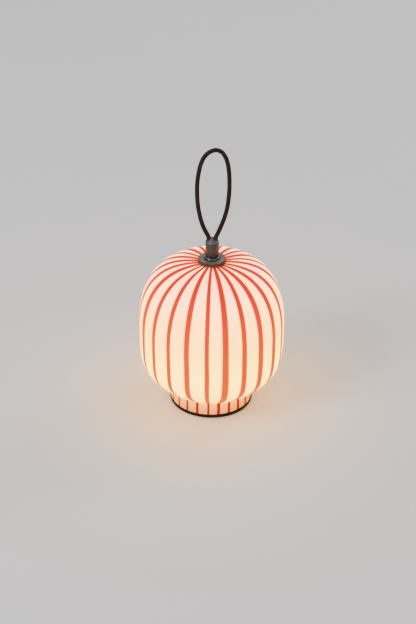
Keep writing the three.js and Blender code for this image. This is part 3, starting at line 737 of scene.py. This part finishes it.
def turn_post(finish):
    """The carrying post: a turned body with a low conical crown and two leaning cord bores."""
    shank, shank_bottom, shank_edge, groove = 0.0047, 0.1857, 0.0004, 0.0039
    ring_low, ring_high = 0.1877, 0.189
    round_start = (POST_RADIUS, SHOULDER - 0.0009)
    round_off = bezier(
        round_start, (POST_RADIUS, SHOULDER - 0.0001), (POST_RADIUS - 0.0002, SHOULDER + 0.0003),
        (POST_RADIUS - 0.0008, SHOULDER + 0.0009), 5,
    )
    tip_start = (TIP_RADIUS, CROWN - TIP_DROP)
    tip = bezier(tip_start, (0.0014, CROWN - 0.0004), (0.0008, CROWN), (0, CROWN), 5)
    profile = [
        (0, shank_bottom), (shank - shank_edge, shank_bottom), (shank, shank_bottom + shank_edge),
        (shank, ring_low), (groove, ring_low), (groove, ring_high), (shank, ring_high),
        (shank, POST_BOTTOM), (POST_RADIUS - 0.0006, POST_BOTTOM),
        (POST_RADIUS - 0.0002, POST_BOTTOM + 0.0002), (POST_RADIUS, POST_BOTTOM + 0.0006),
        round_start, *round_off, tip_start, *tip,
    ]
    post = turn_up("swivel_post_body", profile, TURNED_FACETS)
    for side in (-1, 1):
        cut_away(post, bore_tool(side))
        cut_away(post, grub_tool(side))
    smooth(post, 30)
    fit_to_lamp(post, "swivel", finish, "swivel_post")


def bore_tool(side):
    """A cylinder along a cord bore, from its bottom out past the crown."""
    lean = side * BORE_LEAN
    along = Vector((math.sin(lean), 0, math.cos(lean)))
    mouth = Vector((side * BORE_MOUTH.x, 0, BORE_MOUTH.z))
    beyond = 0.006
    middle = mouth + along * ((beyond - BORE_DEPTH) / 2)
    deselect_all()
    bpy.ops.mesh.primitive_cylinder_add(
        vertices=48, radius=BORE_RADIUS, depth=BORE_DEPTH + beyond, location=middle,
        rotation=(0, lean, 0),
    )
    return bpy.context.object


def grub_tool(side):
    """A cylinder along a grub screw's hole, from the cord bore out through the back."""
    below, radius, length = 0.0075, 0.00165, 0.009
    across = BORE_MOUTH.x - below * math.tan(BORE_LEAN)
    deselect_all()
    bpy.ops.mesh.primitive_cylinder_add(
        vertices=32, radius=radius, depth=length,
        location=(side * across, length / 2, BORE_MOUTH.z - below),
        rotation=(math.pi / 2, 0, 0),
    )
    return bpy.context.object


# ---- base ----
PLATE_FACETS = 160
SCREW_CIRCLE = 0.0376
SCREW_HEAD_HOLE, SCREW_SHANK_HOLE = 0.003, 0.0017  # radii
SCREW_HEAD_SEAT = 0.0026
BUTTON_PLACE, BUTTON_HOLE = (0.008, 0.029), 0.00435
SOCKET_PLACE, SOCKET_HALF_SIZE = (-0.008, 0.029), (0.0048, 0.00195)
# how far down and up the tools reach that cut the holes
BELOW_PLATE, ABOVE_PLATE = -0.001, 0.005


def turn_base_plate(finish):
    """The black base plate with its foot groove, screw recesses, button hole and socket slot."""
    outer, bottom, top, edge = 0.0512, 0.001, 0.0036, 0.0005
    eased = edge * 0.3
    groove_in, groove_out, groove_top = 0.0427, 0.0483, 0.002
    profile = [
        (0, bottom), (groove_in, bottom), (groove_in, groove_top), (groove_out, groove_top),
        (groove_out, bottom), (outer - edge, bottom), (outer - eased, bottom + eased),
        (outer, bottom + edge), (outer, top - edge), (outer - eased, top - eased),
        (outer - edge, top), (0, top),
    ]
    plate = turn_up("base_plate_disc", profile, PLATE_FACETS)
    for degrees in (45, 135, 225, 315):
        angle = math.radians(degrees)
        at = (SCREW_CIRCLE * math.cos(angle), SCREW_CIRCLE * math.sin(angle))
        cut_away(plate, round_tool(at, SCREW_HEAD_HOLE, BELOW_PLATE, SCREW_HEAD_SEAT))
        cut_away(plate, round_tool(at, SCREW_SHANK_HOLE, 0.0, ABOVE_PLATE))
    cut_away(plate, round_tool(BUTTON_PLACE, BUTTON_HOLE, BELOW_PLATE, ABOVE_PLATE))
    cut_away(plate, slot_tool(SOCKET_PLACE, *SOCKET_HALF_SIZE, BELOW_PLATE, ABOVE_PLATE))
    smooth(plate, 30)
    fit_to_lamp(plate, "lamp", finish, "base_plate")


def round_tool(at, radius, bottom, top):
    """An upright cylinder."""
    deselect_all()
    bpy.ops.mesh.primitive_cylinder_add(
        vertices=40, radius=radius, depth=top - bottom, location=(*at, (bottom + top) / 2)
    )
    return bpy.context.object


def slot_tool(at, half_length, half_width, bottom, top):
    """An upright block."""
    deselect_all()
    bpy.ops.mesh.primitive_cube_add(size=2, location=(*at, (bottom + top) / 2))
    tool = bpy.context.object
    tool.scale = (half_length, half_width, (top - bottom) / 2)
    bpy.ops.object.transform_apply(location=True, rotation=True, scale=True)
    return tool


# ---- finishes of the carried-over nodes ----
def moulded(name, colour, roughness):
    """Moulded plastic or rubber with a fine grain and a slight unevenness of colour."""
    uneven = 0.06
    plastic = Finish(name)
    place = plastic.place()
    fine = plastic.noise(place, 2400, 2.0)
    broad = plastic.noise(place, 60, 3.0)
    toned = plastic.tint(colour, plastic.range(broad, 0.25, 0.75, 1 - uneven, 1 + uneven))
    matt = plastic.range(fine, 0.3, 0.7, roughness - uneven, roughness + uneven)
    plastic.feed("Base Color", toned)
    plastic.feed("Roughness", matt)
    plastic.bump(fine + broad, 0.15, 0.0002)
    return plastic.material


def bright_metal(name, colour, roughness):
    """Clean turned metal with little patina."""
    return turned_metal(name, colour, roughness, patina=0.12, worn=(0.72, 0.72, 0.73))


def finish_cad_nodes(finishes):
    """Gives every carried-over node its own material, by the list of nodes of each finish."""
    for material, names in finishes:
        for name in names:
            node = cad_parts[name]
            node.data.materials.clear()
            node.data.materials.append(material)


blow_globe()
# the post's gunmetal: its crown colour is lighter than its body, as painted light on the top
gunmetal = turned_metal(
    "gunmetal", (0.023, 0.036, 0.038), 0.4, 0.2, worn=(0.035, 0.048, 0.05), metallic=0.3,
    crown=(0.085, 0.08, 0.076),
)
# the nut's copy of the gunmetal, several times lighter than the post's: painted light on the
# nut's upturned face, with rubbed wear as on every turned metal
rubbed_and_lit_gunmetal = turned_metal(
    "rubbed_and_lit_gunmetal", (0.15, 0.123, 0.103), 0.42, worn=(0.28, 0.232, 0.195), metallic=0.3,
    rim=0.0161,
)
blackened = turned_metal("polished_black_steel", (0.16, 0.155, 0.15), 0.12, 0.2)
black_steel = turned_metal(
    "black_coated_steel", (0.02, 0.02, 0.019), 0.42, 0.2, worn=(0.05, 0.05, 0.05)
)
knurl_nut(rubbed_and_lit_gunmetal)
turn_bush(blackened)
turn_post(gunmetal)
turn_base_plate(black_steel)

steel = bright_metal("screw_steel", (0.5, 0.5, 0.51), 0.3)
aluminium = bright_metal("bare_aluminium", (0.62, 0.63, 0.64), 0.34)
rubber = moulded("black_rubber", (0.012, 0.012, 0.012), 0.8)
silicone = moulded("clear_silicone", (0.66, 0.64, 0.6), 0.5)
nylon = moulded("black_nylon", (0.024, 0.023, 0.022), 0.45)
white = moulded("white_plastic", (0.8, 0.79, 0.76), 0.45)
black_plastic = moulded("black_plastic", (0.012, 0.012, 0.012), 0.45)
wrap = moulded("cell_wrap", (0.05, 0.16, 0.28), 0.3)
board = moulded("circuit_board_mask", (0.014, 0.1, 0.042), 0.35)
lead = moulded("lead_insulation", (0.45, 0.05, 0.02), 0.5)
phosphor = moulded("led_phosphor", (0.9, 0.56, 0.1), 0.5)

screws = [f"{kind}_screw_{k}" for kind in ("base", "deck") for k in (1, 2, 3, 4)]
screws += [f"stem_screw_{k}" for k in (1, 2, 3)]
small_steel = [
    "usb_socket", "stem_collar", "retaining_ring", "pressure_washer", "cord_grub_screw_left",
    "cord_grub_screw_right",
]
finish_cad_nodes([
    (steel, screws + small_steel),
    (aluminium, ["deck_plate", "stem"]),
    (rubber, ["foot_ring", "cell_pad", "lip_seal", "outer_gasket", "power_button"]),
    (silicone, ["inner_gasket"]),
    (nylon, ["upper_thrust_washer", "lower_thrust_washer"]),
    (white, ["battery_cup", "led_board", "diffuser_dome"]),
    (black_plastic, ["tact_switch"]),
    (wrap, ["battery_cell_front", "battery_cell_rear"]),
    (board, ["control_board"]),
    (lead, ["led_lead"]),
    (phosphor, ["led_ring"]),
])


# ---- studio ----
FLOOR_SIZE = 40
FLOOR_TONES = ((0.70, 0.685, 0.69), (0.72, 0.705, 0.71))
SKY_COLOUR = (0.95, 0.94, 0.96, 1)


def light(name, size, energy, place, target):
    """A round softbox at a place, aimed at a target."""
    lamp = bpy.data.lights.new(name, "AREA")
    lamp.shape = "DISK"
    lamp.size = size
    lamp.energy = energy
    holder = bpy.data.objects.new(name, lamp)
    bpy.context.scene.collection.objects.link(holder)
    holder.location = place
    holder.rotation_mode = "QUATERNION"
    holder.rotation_quaternion = (Vector(target) - Vector(place)).to_track_quat("-Z", "Y")


def set_up_studio():
    """A wide pale floor, a pale sky and two softboxes."""
    deselect_all()
    bpy.ops.mesh.primitive_plane_add(size=FLOOR_SIZE, location=(0, 0, 0))
    floor = bpy.context.object
    floor.name = "studio_floor"
    paint = Finish("pale_floor", Roughness=0.9, Specular_IOR_Level=0.1)
    tone = paint.noise(paint.place(), 3.0, 2.0)
    paint.feed("Base Color", paint.mix(tone, *FLOOR_TONES))
    floor.data.materials.append(paint.material)
    world = bpy.data.worlds.new("studio")
    world.use_nodes = True
    background = world.node_tree.nodes["Background"]
    background.inputs["Color"].default_value = SKY_COLOUR
    background.inputs["Strength"].default_value = 1.0
    bpy.context.scene.world = world
    light("key_softbox", 1.1, 48, (-1.9, -1.5, 1.9), (0, 0, 0.12))
    light("rim_softbox", 1.0, 14, (1.8, 1.4, 1.6), (0, 0, 0.15))


set_up_studio()
